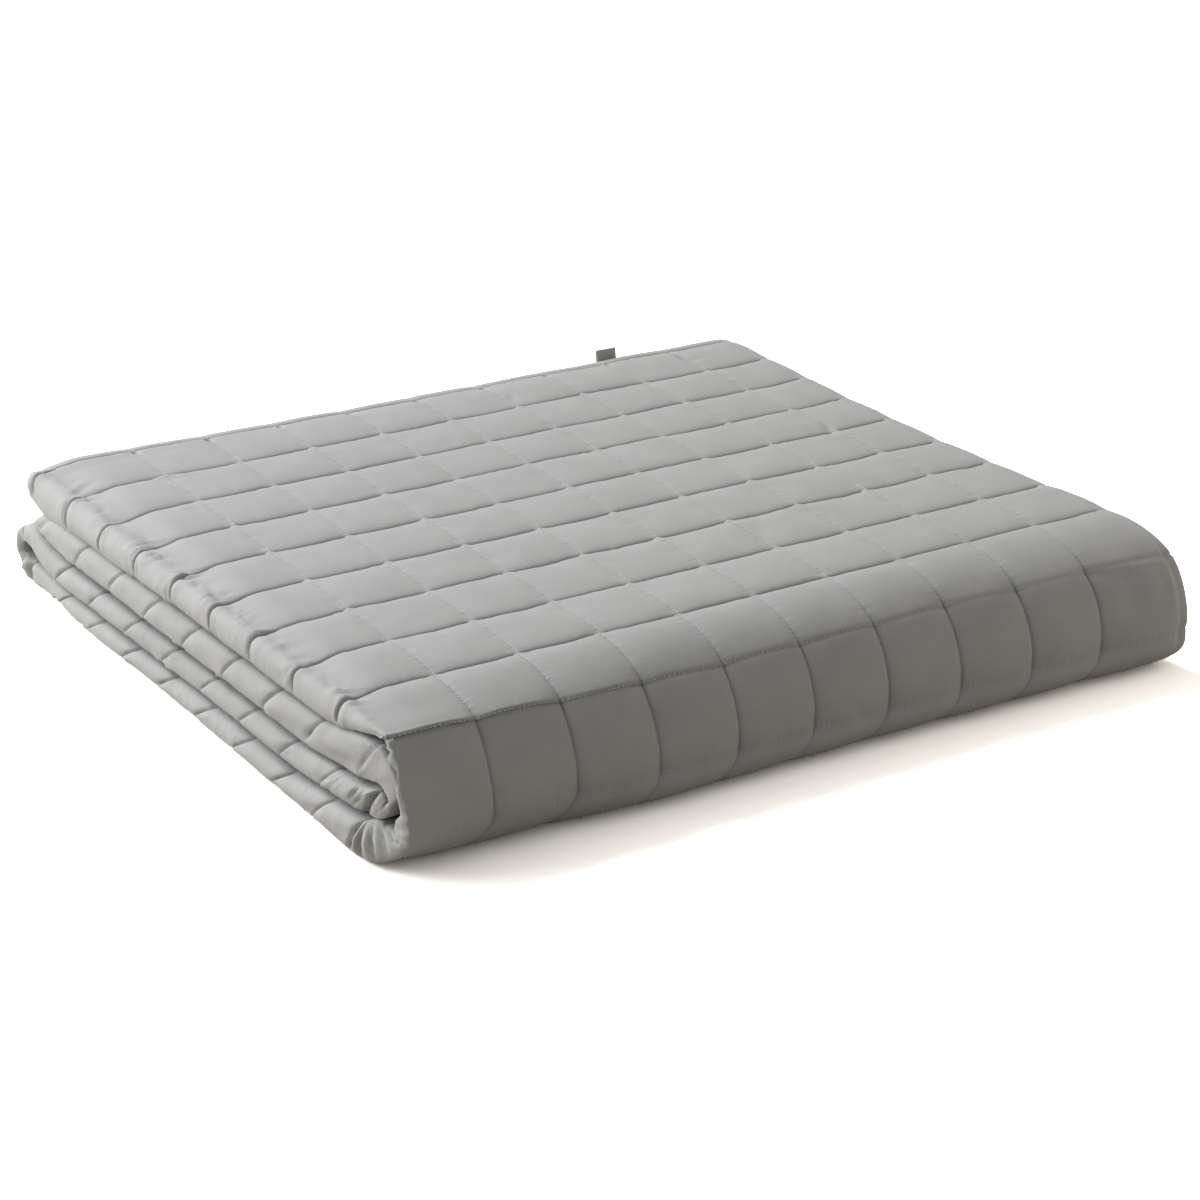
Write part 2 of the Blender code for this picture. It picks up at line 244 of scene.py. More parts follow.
# Pleats on the left end, at the foot of the front corner, in the back loop and in the inner turn, each
# from one place to another. A row is seam, side, to_seam, to_side, height and width. side is 1 on the
# outer side and -1 on the inner one.
PLEATS = (
    (-1.88, -0.9, -1.98, 0.5, -0.200, 0.030),
    (-1.68, -0.9, -1.78, 0.8, -0.130, 0.025),
    (-1.77, -0.7, -1.84, 0.7, 0.030, 0.040),
    (-1.42, -0.9, -1.52, 0.7, -0.080, 0.030),
    (-1.54, -0.6, -1.60, 0.6, 0.025, 0.040),
    (-1.24, -0.8, -1.30, 0.6, -0.060, 0.028),
    (-1.08, -0.8, -1.12, 0.5, -0.045, 0.025),
    (-11.02, 0.90, -11.06, -0.95, -0.160, 0.030),
    (-11.18, 0.40, -11.24, -0.95, 0.060, 0.045),
    (-11.36, 0.60, -11.42, -0.95, -0.150, 0.035),
    (-11.56, 0.30, -11.60, -0.95, 0.040, 0.045),
    (-11.76, 0.30, -11.80, -0.95, -0.120, 0.035),
    (-12.20, -0.10, -12.26, -0.95, -0.060, 0.035),
    (-20.97, 0.95, -21.03, -0.9, -0.200, 0.045),
    (-20.60, 0.9, -20.72, -0.2, -0.070, 0.030),
    (-20.85, 0.5, -20.80, -0.6, -0.040, 0.030),
    (-22.30, 0.9, -22.35, 0.2, -0.060, 0.030),
    (-22.42, 0.9, -22.50, 0.3, -0.050, 0.025),
    (-22.16, 0.8, -22.20, -0.1, -0.040, 0.025),
)
SIDE_SIZE = 0.17  # squares on the end for one unit of side
CREASE_AT_ENDS = 0.4  # the share of its height that a crease keeps at its two ends
PLEAT_AT_ENDS = 0.3

# Stretches of the strip, as four seam counts: where something starts, is full, is last full and ends.
WRAP_EDGE = (1.2, -0.1, -0.55, -0.95)
WRAP = (-0.02, -0.10, -0.80, -1.05)
CORNER_FOOT = (-0.7, -1.1, -1.8, -2.2)
TOE = (-0.95, -1.4, -1.7, -2.6)
FOOT = (-0.98, -1.5, -1.8, -3.5)
BACK_LOOP = (-10.3, -11.0, -12.2, -13.2)
LOOP_TOP = (-11.3, -12.0, -12.6, -13.6)

# Uneven fields: how many new values come in a square across the strip and along it, a shift along it,
# and the seed.
STRAYING = (1.3, 0.7, 40, 21)
WAVERING = (6, 0.7, 60, 23)
BOWING = (1, 0.9, 20, 22)
CROSS_DEPTH = (0.9, 0.9, 0, 3)
ALONG_DEPTH = (0.9, 0.9, 0, 4)
SWELLING = (1.7, 1.7, 0, 9)
WANDER_SIZE = 97  # values on a side of each field, before it repeats
SPARSE_REST = 0.15  # what is left of sparse values in most places
SPARSE_REST_PACE = 1.7

# How the seams lie.
STRAY = 0.02  # how far they stray from straight lines
WAVER = 0.007  # and how far the cross seams on the top waver beside that
ONTO_TOP = (0.1, 0.9)  # seam counts between which the front edge becomes the top
BOW = 0.038  # the cross seams bow this far to the front between two crossings
BOW_UNEVEN = 0.8
BOW_ENDS = (8.6, 9.0)  # but not at the hem
FOOT_SKEW = 0.28  # below the front the seams along the strip run off to the left by this much
SLANT = 0.42  # on the ends of the inner runs a seam's top is this far in front of its foot
SLANT_REACH = 0.6
SLANT_FROM = (1.6, 2.4)  # squares down from the front edge

# How the whole pile is pressed and pulled out of a plain fold.
FORWARD_FROM = 6.0  # the front wrap comes forward from here to the right end
FORWARD = 0.12
LEFT_CHANGE_REACH = (-0.05, 0.9)  # squares in from the left fold line
WRAP_THINNING = 1.45
TOE_FORWARD = 0.15  # away from its left end the wrap's foot comes further forward
TOE_ACROSS = (1.0, 3.5)
DROOP_REACH = 0.45
LOOP_PINCH = 0.04
LOOP_PINCH_REACH = 0.35
HEM_RISE = 0.05
HEM_RISE_FROM = (8.7, 9.0)
HEM_RISE_REACH = 4.0
HEM_HANG = 0.08
HEM_HANG_FROM = (7.2, 8.6)
HEM_HANG_REACH = (0.02, 0.25)
SHOULDER_RISE = 0.15
SHOULDER_ACROSS = (-0.5, 4.0)
SHOULDER_REACH = 0.3
SHOULDER_EDGE = 1.5  # 1 is a sharp edge and 2 a round one

# The relief of the outer side.
HALF = 0.5  # half a square
LEFT_FADE = (-0.5, 0.1)  # squares past the left fold line between which the seams along the strip fade
CELL_UNEVEN = 0.25
ALONG_EDGE = 0.75  # how soft the seams along the strip are, where the cross seams have 0.5
LEFT_FLATTENING = 0.45
CROSSING_REACH = 0.045
CROSSING_LIFT = 0.75  # the threads' crossing lifts the bottom of a cross seam by this share
CROSSING_PULL = 0.9  # and deepens the other seam by this share
CROSSING_PULL_REACH = 0.20
SEAM_LINE = 0.3
SEAM_LINE_MOST = 0.06
SEAM_LINE_REACH = 0.02
LEFT_SEAM_LINE = 0.05
LEFT_SEAM_LINE_REACH = 0.012
ALONG_LINE_REACH = 0.016
HEM_DIMPLE = 0.05  # where a seam along the strip runs under the hem
HEM_DIMPLE_SEAM = 8.93
HEM_DIMPLE_SIZE = (0.035, 0.05)
PUCKER_PITCH = 0.085
PUCKER_LENGTH = 0.6
PUCKER_REACH = 0.10
PUCKER_FULL = 0.005
ALONG_PUCKER = 0.7
SWELL = 0.008
LEFT_GATHER = 0.045
LEFT_GATHER_PITCH = 0.055
LEFT_GATHER_LENGTH = 0.28
LEFT_GATHER_SLANT = 0.5
LEFT_GATHER_REACH = 0.32
LEFT_GATHER_FROM = (0.3, 1.2)
INNER_DIP = 0.02  # the cross seams on the inner side

# The ends of the runs. A shape of 2 is round, and a higher one is squarer.
END_SHAPE = 4.0
TOP_END_SHAPE = 2.8
CORNER_END_SHAPE = 2.2
END_UNEVEN = 0.10
END_UNEVEN_PITCH = 1.3
END_GATHER = 0.03
END_GATHER_PITCH = 0.055
END_GATHER_ROUND = 1.4  # new values for one unit of side
END_GATHER_NEAR = (0.15, 0.45)
EDGE_PUCKER = 0.02
EDGE_PUCKER_PITCH = 0.085
EDGE_PUCKER_DRIFT = 0.02
EDGE_PUCKER_DRIFT_STEPS = 9  # new values in a square
NOTCH_WIDTH = 0.012
NOTCH_SLIT = 0.9  # the shares of a notch that are its narrow slit and its wide hollow
NOTCH_HOLLOW = 0.1
NOTCH_FACING = (-0.7, 0.3)  # a notch fades out where the cloth turns down
SLIT_DEPTH = 0.05
TOP_END_RELIEF = 0.5  # the share of the relief that goes on round the left end
LOWER_END_RELIEF = 0.2
LOWER_FROM = -1.5
RIGHT_NOTCH = 0.05
RIGHT_BULGE = 0.17
RIGHT_HEM_BULGE = 0.12
RIGHT_FULLNESS = 0.9
RIGHT_SLIT = -0.10
RIGHT_SLIT_WIDTH = 0.07

# The right end shows a fold of two of the three thicknesses above one hem. Each is a middle and a half
# size, on a scale where side runs from -1 to 1.
RIGHT_FOLD = (1 / 3, 2 / 3)
RIGHT_HEM = (-2 / 3, 1 / 3)
RIGHT_SPLIT = -1 / 3

# The hem shows three thicknesses of cloth. Each ring of a hem is scale, its share of the thickness, and
# out, how far it stands past the cut, in squares.
HEM_RINGS = (
    (0.98, 0.035),
    (0.90, 0.060),
    (0.70, 0.072),
    (0.50, 0.055),
    (0.40, 0.020),
    (0.34, -0.050),
    (0.30, 0.010),
    (0.20, 0.040),
    (0.08, 0.050),
)
HEM_ROUNDING = 4.0  # how fast the ends draw in on the rings

# The grid. A row is its first and last seam and the steps in a square between them.
FACE_STEPS = 24
STEPS = (
    (9, -1, FACE_STEPS),
    (-1, -2, 40),  # pleats show on the front corner
    (-2, -10, 10),  # only the folded ends show
    (-10, -13, 16),
    (-13, -20, 10),
    (-20, -22, 40),
    (-22, -30, 10),
)
HEM_PLACES = (9.16, 9.13, 9.09, 9.05, 9.02)
INNER_END_PLACES = (-30, -30.05, -30.10, -30.14, -30.18)
INNER_SIDE_PLACES = (10, 9.9, 9.7, 9.3, 8.5, 6.5, 4.5, 2.5, 1.2, 0.6, 0.35, 0.2, 0.1, 0)
LEFT_STEPS = 20
RIGHT_STEPS = 18
CROWDING = 0.8  # 0 spaces the steps evenly, towards 1 crowds them at the seams
END_IN_MAP = 0.5  # squares of the UV map that a folded end takes
HIDDEN_RUNS = ((-2.2, -10.2), (-13.2, -29.8))  # their outer sides lie under other runs
HIDDEN_FROM = 0.4  # squares in from the fold lines


# ---------------------------------------------------------------- curves and uneven fields


def column(table, names, name):
    """One named column of a table, against a seam count that rises."""
    return np.array([row[names.index(name)] for row in table][::-1], dtype=float)


def smooth(table, names, name, seam):
    """A curve through a table's column that never swings past its values."""
    at, values = column(table, names, "seam"), column(table, names, name)
    step = np.diff(at)
    slope = np.diff(values) / step
    before, after = slope[:-1], slope[1:]
    weight_before, weight_after = 2 * step[1:] + step[:-1], step[1:] + 2 * step[:-1]
    with np.errstate(divide="ignore", invalid="ignore"):
        mean = (weight_before + weight_after) / (weight_before / before + weight_after / after)
    tangent = np.concatenate((slope[:1], np.where(before * after > 0, mean, 0), slope[-1:]))
    i = np.clip(np.searchsorted(at, seam, side="right") - 1, 0, len(at) - 2)
    t = (seam - at[i]) / step[i]
    start = (1 + 2 * t) * (1 - t) ** 2 * values[i] + t * (1 - t) ** 2 * step[i] * tangent[i]
    end = t * t * (3 - 2 * t) * values[i + 1] + t * t * (t - 1) * step[i] * tangent[i + 1]
    return start + end


def path(seam, name):
    return smooth(PATH, PATH_COLUMNS, name, seam)


def left_change(seam, name):
    return smooth(LEFT, LEFT_COLUMNS, name, seam)


def fold(seam, name):
    return smooth(FOLDS, FOLD_COLUMNS, name, seam)


def quilting(seam, name):
    return smooth(QUILTING, QUILTING_COLUMNS, name, seam)


def ramp(value, start, end):
    """0 up to start, 1 from end, and an even slope with soft ends between."""
    t = np.clip((value - start) / (end - start), 0, 1)
    return t * t * (3 - 2 * t)


def on_stretch(seam, stretch):
    """1 where a stretch of the strip is full, 0 away from it, and soft slopes between."""
    start, full, last_full, end = stretch
    return ramp(-seam, -start, -full) * ramp(seam, end, last_full)


def mound(distance, reach):
    return np.exp(-((distance / reach) ** 2))


def spike(distance, reach):
    return np.exp(-distance / reach)


def wander(u, v, seed):
    """Smooth uneven values from -1 to 1, one new value for each unit of u and v."""
    table = np.random.default_rng(seed).uniform(-1, 1, (WANDER_SIZE, WANDER_SIZE))
    u, v = np.broadcast_arrays(u, v)
    i, j = np.floor(u).astype(int), np.floor(v).astype(int)
    a, b = u - i, v - j
    a, b = a * a * (3 - 2 * a), b * b * (3 - 2 * b)
    i0, i1, j0, j1 = i % WANDER_SIZE, (i + 1) % WANDER_SIZE, j % WANDER_SIZE, (j + 1) % WANDER_SIZE
    near = table[i0, j0] * (1 - a) + table[i1, j0] * a
    far = table[i0, j1] * (1 - a) + table[i1, j1] * a
    return near * (1 - b) + far * b


def uneven(field, across, seam):
    """The values of one of the uneven fields above."""
    on_across, on_seam, shift, seed = field
    return wander(across * on_across, seam * on_seam + shift, seed)


def sparse(u, v, seed):
    """Uneven values like wander's, but near 0 in most places and high in a few."""
    return wander(u, v, seed) ** 3 + SPARSE_REST * wander(u * SPARSE_REST_PACE, v, seed + 100)


def to_seam(place):
    """How far a place is from the nearest seam, from 0 to a half."""
    return np.abs(place - np.round(place))


def drawn_lines(u, v, rows, at_ends):
    """The heights of listed lines. A row is the start and end of one in u and v, its height and
    its width."""
    total = np.zeros(np.broadcast(u, v).shape)
    for from_u, from_v, to_u, to_v, height, width in rows:
        run_u, run_v = to_u - from_u, to_v - from_v
        off_u, off_v = u - from_u, v - from_v
        part = np.clip((off_u * run_u + off_v * run_v) / (run_u**2 + run_v**2), 0, 1)
        away = np.hypot(off_u - part * run_u, off_v - part * run_v)
        total += height * mound(away, width) * (at_ends + (1 - at_ends) * np.sin(math.pi * part))
    return total


# ---------------------------------------------------------------- the padded surface


def outward(seam):
    """The direction, as (y, z), that the outer side of the strip faces."""
    step = 0.02
    ends = PATH[-1][0], PATH[0][0]
    before, after = np.clip(seam + step, *ends), np.clip(seam - step, *ends)
    dy = path(after, "y") - path(before, "y")
    dz = path(after, "z") - path(before, "z")
    run = np.hypot(dy, dz)
    return dz / run, -dy / run


def dip(distance, power=0.5):
    """A puffed square's profile: 1 on the seam, with a crisp edge, and 0 in the middle."""
    return 1 - np.maximum(1 - (1 - 2 * distance) ** 2, 0) ** power


def sewn_grooves(seam, across):
    """How deep the seams lie, on the outer side."""
    from_cross, from_along = to_seam(seam), to_seam(across)
    at_left = ramp(-across, *LEFT_FADE)
    on_top = seam > HALF
    cross = quilting(seam, "cross") * (1 + CELL_UNEVEN * uneven(CROSS_DEPTH, across, seam))
    cross = cross * (1 - LEFT_FLATTENING * at_left * on_top)
    cross = cross * (1 - CROSSING_LIFT * mound(from_along, CROSSING_REACH) * (across > HALF))
    along = quilting(seam, "along") * (1 + CELL_UNEVEN * uneven(ALONG_DEPTH, across, seam))
    along = along * (1 + CROSSING_PULL * mound(from_cross, CROSSING_PULL_REACH))
    grooves = np.hypot(cross * dip(from_cross), along * dip(from_along, ALONG_EDGE) * (1 - at_left))
    line = SEAM_LINE * np.minimum(cross, SEAM_LINE_MOST)
    grooves = grooves + line * spike(from_cross, SEAM_LINE_REACH)
    grooves = grooves + LEFT_SEAM_LINE * at_left * spike(from_cross, LEFT_SEAM_LINE_REACH) * on_top
    grooves = grooves + quilting(seam, "line") * spike(from_along, ALONG_LINE_REACH) * (1 - at_left)
    size_across, size_along = HEM_DIMPLE_SIZE
    dimple = mound(from_along, size_across) * mound(seam - HEM_DIMPLE_SEAM, size_along)
    return grooves + HEM_DIMPLE * dimple * (across > HALF) * (across < COLUMNS - HALF)


def relief(seam, across):
    """How far the outer side stands from its smooth form: the sewn grooves, puckers and creases."""
    pull = quilting(seam, "pucker")
    beside_cross = wander(across / PUCKER_PITCH, seam / PUCKER_LENGTH, 5)
    beside_cross = beside_cross * spike(to_seam(seam), PUCKER_REACH)
    beside_along = wander(across / PUCKER_LENGTH, seam / PUCKER_PITCH, 6)
    beside_along = beside_along * spike(to_seam(across), PUCKER_REACH)
    gathers = pull * (beside_cross + ALONG_PUCKER * beside_along)
    folded = ramp(-across, -LEFT_GATHER_REACH, 0.0) * ramp(seam, *LEFT_GATHER_FROM)
    slanted = (seam + LEFT_GATHER_SLANT * across) / LEFT_GATHER_PITCH
    gathers = gathers + LEFT_GATHER * folded * sparse(slanted, across / LEFT_GATHER_LENGTH, 8)
    soft = SWELL * uneven(SWELLING, across, seam) * np.minimum(pull / PUCKER_FULL, 1)
    creases = drawn_lines(seam, across, CREASES, CREASE_AT_ENDS)
    return -sewn_grooves(seam, across) + gathers + soft + creases


def strip_point(seam, across, reach, side, lift=0.0):
    """(x, y, z) in squares. reach is how far a point lies past a fold line, to the left if negative, and
    side is 1 on the outer side and -1 on the inner one."""
    y, z, half = path(seam, "y"), path(seam, "z"), path(seam, "half")
    out_y, out_z = outward(seam)
    outer, inner = (1 + side) / 2, (1 - side) / 2
    x = across + fold(seam, "left") * np.clip(1 - across, 0, 1)
    x = x + (fold(seam, "right") - COLUMNS) * np.clip(across - COLUMNS + 1, 0, 1) + reach
    inside = np.clip(across, 0, 1) * np.clip(COLUMNS - across, 0, 1)
    x = x - FOOT_SKEW * inside * on_stretch(seam, FOOT)
    on_top = outer * ramp(seam, *ONTO_TOP)
    y = y + STRAY * uneven(STRAYING, across, seam) * outer
    y = y + WAVER * uneven(WAVERING, across, seam) * on_top
    bow = BOW * (1 + BOW_UNEVEN * uneven(BOWING, np.floor(across) + HALF, seam))
    y = y - bow * on_top * (1 - (1 - 2 * to_seam(across)) ** 2) * (1 - ramp(seam, *BOW_ENDS))
    slanted = (1 - ramp(across + reach, 0.0, SLANT_REACH)) * ramp(-seam, *SLANT_FROM)
    slanted = slanted * (1 - on_stretch(seam, BACK_LOOP))
    y = y - SLANT / 2 * side * out_z * slanted
    at_left = 1 - ramp(x, *LEFT_CHANGE_REACH)
    thin = WRAP_THINNING * at_left * on_stretch(seam, WRAP_EDGE)
    y = y + at_left * left_change(seam, "y")
    z = z + at_left * left_change(seam, "z")
    half = half + at_left * left_change(seam, "half")
    off = half * (side * (1 - thin / 2) + thin / 2) + lift
    off = off - fold(seam, "droop") * outer * ramp(-across, -DROOP_REACH, 0)
    y = y - TOE_FORWARD * ramp(x, *TOE_ACROSS) * on_stretch(seam, TOE)
    y = y + off * out_y
    z = z + off * out_z + HEM_RISE * ramp(seam, *HEM_RISE_FROM) * np.clip(1 - x / HEM_RISE_REACH, 0, 1)
    shoulder = np.exp(-((np.abs(seam) / SHOULDER_REACH) ** SHOULDER_EDGE))
    z = z + SHOULDER_RISE * (1 - ramp(x, *SHOULDER_ACROSS)) * shoulder
    z = z - LOOP_PINCH * ramp(-x, 0.0, LOOP_PINCH_REACH) * on_stretch(seam, LOOP_TOP)
    z = z - HEM_HANG * inner * ramp(-x, *HEM_HANG_REACH) * ramp(seam, *HEM_HANG_FROM)
    forward = np.clip((x - FORWARD_FROM) / (COLUMNS - FORWARD_FROM), 0, 1)
    y = y - FORWARD * forward**2 * np.clip(1 - y, 0, 1)
    return np.stack(np.broadcast_arrays(x, y, np.maximum(z, 0)), axis=-1)


def to_metres(points):
    return (points - np.array((MIDDLE_X, MIDDLE_Y, 0))) * SQUARE


def steps_in_square(steps):
    """Places in a square, from its seam on, closer together at both of its seams."""
    even = np.arange(steps) / steps
    return even - CROWDING * np.sin(2 * math.pi * even) / (2 * math.pi)


def places_along():
    """The seam counts of the cuts, from the hem to the inner end."""
    places = list(HEM_PLACES)
    for first, last, steps in STEPS:
        for seam in range(first, last, -1):
            places += list(seam - steps_in_square(steps))
    return np.array(places + list(INNER_END_PLACES))


def around():
    """Where the points round the strip lie, as (across, reach, side, u). The outer side comes first,
    from left to right, then the right end, the inner side and the left end. u is the UV map's."""
    outer = np.concatenate([i + steps_in_square(FACE_STEPS) for i in range(COLUMNS)])
    rows = [(a, 0, 1, a) for a in outer] + [(COLUMNS, 0, 1, COLUMNS)]
    for k in range(1, RIGHT_STEPS):
        turned = k / RIGHT_STEPS
        rows.append((COLUMNS, 1, math.cos(math.pi * turned), COLUMNS + END_IN_MAP * turned))
    rows += [(a, 0, -1, 2 * COLUMNS + END_IN_MAP - a) for a in INNER_SIDE_PLACES]
    for k in range(1, LEFT_STEPS):
        turned = k / LEFT_STEPS
        rows.append((0, -1, -math.cos(math.pi * turned), 2 * COLUMNS + END_IN_MAP * (1 + turned)))
    rows.append((0, 0, 1, 2 * (COLUMNS + END_IN_MAP)))
    return np.array(rows, dtype=float)


def left_end(side, bulge, shape):
    """How far the left end reaches past its fold line at a height on it."""
    angle = np.arccos(np.clip(side, -1, 1))
    return -bulge * np.sin(angle) ** (2 / shape)


def right_end(side):
    """How far the right end reaches past its fold line: a fold, a slit and a hem."""
    fold_middle, fold_half = RIGHT_FOLD
    hem_middle, hem_half = RIGHT_HEM
    in_fold = (side - fold_middle) / fold_half
    in_hem = (side - hem_middle) / hem_half
    round_fold = RIGHT_BULGE * np.sqrt(np.maximum(1 - in_fold**2, 0)) ** RIGHT_FULLNESS
    round_hem = RIGHT_HEM_BULGE * np.sqrt(np.maximum(1 - in_hem**2, 0)) ** RIGHT_FULLNESS
    reach = np.where(side >= RIGHT_SPLIT, round_fold, round_hem)
    return reach + RIGHT_SLIT * mound(side - RIGHT_SPLIT, RIGHT_SLIT_WIDTH)


def end_pleats(seam, side):
    """The pleats on the left end, as changes of its bulge."""
    rows = [(a, b * SIDE_SIZE, c, d * SIDE_SIZE, height, width) for a, b, c, d, height, width in PLEATS]
    return drawn_lines(seam, side * SIDE_SIZE, rows, PLEAT_AT_ENDS)


def left_bulge(seam, side, notch):
    """How far the left end bulges, with its notches, gathers and pleats."""
    bulge = fold(seam, "bulge") - fold(seam, "notch") * notch
    bulge = bulge * (1 + END_UNEVEN * wander(seam * END_UNEVEN_PITCH, side, 11))
    near_seam = 1 - ramp(to_seam(seam), *END_GATHER_NEAR)
    bulge = bulge + END_GATHER * near_seam * sparse(seam / END_GATHER_PITCH, side * END_GATHER_ROUND, 12)
    drifting = seam + EDGE_PUCKER_DRIFT * wander(seam * EDGE_PUCKER_DRIFT_STEPS, side, 14)
    tucks = np.cos(2 * math.pi * drifting / EDGE_PUCKER_PITCH)
    return bulge + EDGE_PUCKER * on_stretch(seam, WRAP) * tucks + end_pleats(seam, side)


def blanket_points():
    """The grid of points, then the seam counts of its rows, and its places u and v for the UV map."""
    seams = places_along()
    ring = around()
    across, reach, side = ring[:, 0], ring[:, 1], ring[:, 2]
    at_left, at_right = reach < 0, reach > 0
    cuts = [(seams[0], scale, out) for scale, out in reversed(HEM_RINGS)]
    cuts += [(seam, 1.0, 0.0) for seam in seams]
    cuts += [(seams[-1], scale, -out) for scale, out in HEM_RINGS]
    seam, scale, out = (np.array(values)[:, None] for values in zip(*cuts))
    up = side * outward(seam)[1]
    slit = spike(to_seam(seam), NOTCH_WIDTH)
    notch = (NOTCH_SLIT * slit + NOTCH_HOLLOW * dip(to_seam(seam))) * ramp(up, *NOTCH_FACING)
    shape = np.where(seam > HALF, TOP_END_SHAPE, END_SHAPE)
    shape = shape + (CORNER_END_SHAPE - shape) * on_stretch(seam, CORNER_FOOT)
    past = np.where(at_left, left_end(side, left_bulge(seam, side, notch), shape), 0.0)
    past = past + np.where(at_right, right_end(side) - RIGHT_NOTCH * notch * (1 - side**2), 0.0)
    past = past * (1 - HEM_ROUNDING * np.abs(out))
    outer = np.where(reach == 0, (side > 0) * 1.0, np.clip(side, 0, 1) ** 2)
    end_relief = np.where(seam < LOWER_FROM, LOWER_END_RELIEF, TOP_END_RELIEF)
    lift = relief(seam, across) * outer * np.where(at_left, end_relief, 1)
    lift = lift - SLIT_DEPTH * slit * at_left * np.clip(up, 0, 1) ** 0.5 * np.sign(side)
    inner = np.where(side < 0, side**2, 0) * INNER_DIP * dip(to_seam(seam))
    points = strip_point(seam, across[None], past, side[None] * scale, lift * scale + inner)
    out_y, out_z = outward(seam)
    points[..., 1] += out * out_z
    points[..., 2] += -out * out_y
    return points, seam[:, 0], ring[:, 3], seam[:, 0] + out[:, 0]


def is_hidden(seam, across):
    """Whether a face lies on an outer side that another run covers."""
    covered = np.zeros(seam.shape, dtype=bool)
    for first, last in HIDDEN_RUNS:
        covered |= (seam < first) & (seam > last)
    return covered & (across > HIDDEN_FROM) & (across < COLUMNS - HIDDEN_FROM)


def make_blanket():
    points, seam, u, v = blanket_points()
    rows, columns = points.shape[:2]
    bpy.ops.object.select_all(action="DESELECT")
    bpy.ops.mesh.primitive_grid_add(x_subdivisions=columns - 1, y_subdivisions=rows - 1, size=1)
    blanket = bpy.context.object
    blanket.name = "quilted_blanket"
    mesh = blanket.data
    mesh.name = "quilted_blanket"
    flat = np.empty(len(mesh.vertices) * 3)
    mesh.vertices.foreach_get("co", flat)
    flat = flat.reshape(-1, 3)
    column_of = np.rint((flat[:, 0] + 0.5) * (columns - 1)).astype(int)
    row_of = np.rint((flat[:, 1] + 0.5) * (rows - 1)).astype(int)
    placed = to_metres(points[row_of, column_of])
    mesh.vertices.foreach_set("co", placed.ravel())
    corner = np.empty(len(mesh.loops), dtype=int)
    mesh.loops.foreach_get("vertex_index", corner)
    places = np.stack((u[column_of[corner]], v[row_of[corner]]), axis=-1)
    mesh.uv_layers[0].data.foreach_set("uv", places.ravel())
    first = corner[np.arange(len(mesh.polygons)) * 4]
    ring = around()
    on_face = (ring[column_of[first], 1] == 0) & (ring[column_of[first], 2] > 0)
    hidden = on_face & is_hidden(seam[row_of[first]], ring[column_of[first], 0])
    mesh.attributes.new("hidden", "BOOLEAN", "FACE").data.foreach_set("value", hidden)
    mesh.update()
    close_and_turn_outwards()
    thin_out_hidden_faces(mesh)
    bpy.ops.object.shade_smooth()
    return blanket


def close_and_turn_outwards():
    """Welds the two long edges of the grid, closes its hems and turns its faces outwards."""
    bpy.ops.object.mode_set(mode="EDIT")
    bpy.ops.mesh.select_all(action="SELECT")
    bpy.ops.mesh.remove_doubles(threshold=0.00001)
    bpy.ops.mesh.fill_holes(sides=0)
    bpy.ops.mesh.select_all(action="SELECT")
    bpy.ops.mesh.normals_make_consistent(inside=False)
    bpy.ops.mesh.select_all(action="DESELECT")
    bpy.ops.object.mode_set(mode="OBJECT")


def thin_out_hidden_faces(mesh):
    """Joins the nearly flat faces that lie between two runs, where nothing of them shows."""
    hidden = np.zeros(len(mesh.polygons), dtype=bool)
    mesh.attributes["hidden"].data.foreach_get("value", hidden)
    mesh.polygons.foreach_set("select", hidden)
    bpy.ops.object.mode_set(mode="EDIT")
    bpy.ops.mesh.dissolve_limited(angle_limit=math.radians(2), use_dissolve_boundaries=False)
    bpy.ops.object.mode_set(mode="OBJECT")
    mesh.attributes.remove(mesh.attributes["hidden"])


# ---------------------------------------------------------------- thread

STITCHES_IN_SQUARE = 17
STITCH_LENGTH = 1.8 * MM
STITCH_UNEVEN = 0.12
THREAD_RADIUS = 0.20 * MM
THREAD_PROUD = 0.13 * MM
SEWN_ACROSS = (*range(9, -2, -1), -11, -12)  # the cross seams with thread that shows
SEWN_ALONG = (*range(9, -1, -1), -11, -12)  # squares whose seams along the strip show thread


def face_point(seam, across):
    """A point on the outer side, with its quilting."""
    return strip_point(seam, across, 0.0, 1.0, relief(seam, across))


def stitch_frames(seam, across, along_strip):
    """Middles, directions and outward directions of the stitches at these places."""
    step = 0.01
    if along_strip:
        before, after = face_point(seam + step, across), face_point(seam - step, across)
    else:
        before, after = face_point(seam, across - step), face_point(seam, across + step)
    direction = after - before
    direction /= np.linalg.norm(direction, axis=1, keepdims=True)
    out_y, out_z = outward(seam)
    out = np.stack((np.zeros_like(out_y), out_y, out_z), axis=1)
    return face_point(seam, across) + out * THREAD_PROUD, direction, out


def stitch_places():
    """The seam and across of each stitch, and whether it runs along the strip."""
    part = (np.arange(STITCHES_IN_SQUARE) + 0.5) / STITCHES_IN_SQUARE
    seams, acrosses, ways = [], [], []
    for seam in SEWN_ACROSS:
        for i in range(COLUMNS):
            seams.append(np.full(len(part), float(seam)))
            acrosses.append(i + part)
            ways.append(np.zeros(len(part), dtype=bool))
    for across in range(1, COLUMNS):
        for seam in SEWN_ALONG:
            seams.append(seam - part)
            acrosses.append(np.full(len(part), float(across)))
            ways.append(np.ones(len(part), dtype=bool))
    return (np.concatenate(values) for values in (seams, acrosses, ways))


def stitch_pattern():
    """The points and faces of one stitch, a little ball that is drawn out along the seam."""
    bpy.ops.object.select_all(action="DESELECT")
    bpy.ops.mesh.primitive_uv_sphere_add(segments=5, ring_count=4, radius=1)
    pattern = bpy.context.object
    shape = np.array([vertex.co for vertex in pattern.data.vertices])
    faces = [tuple(polygon.vertices) for polygon in pattern.data.polygons]
    bpy.data.objects.remove(pattern)
    return shape, faces


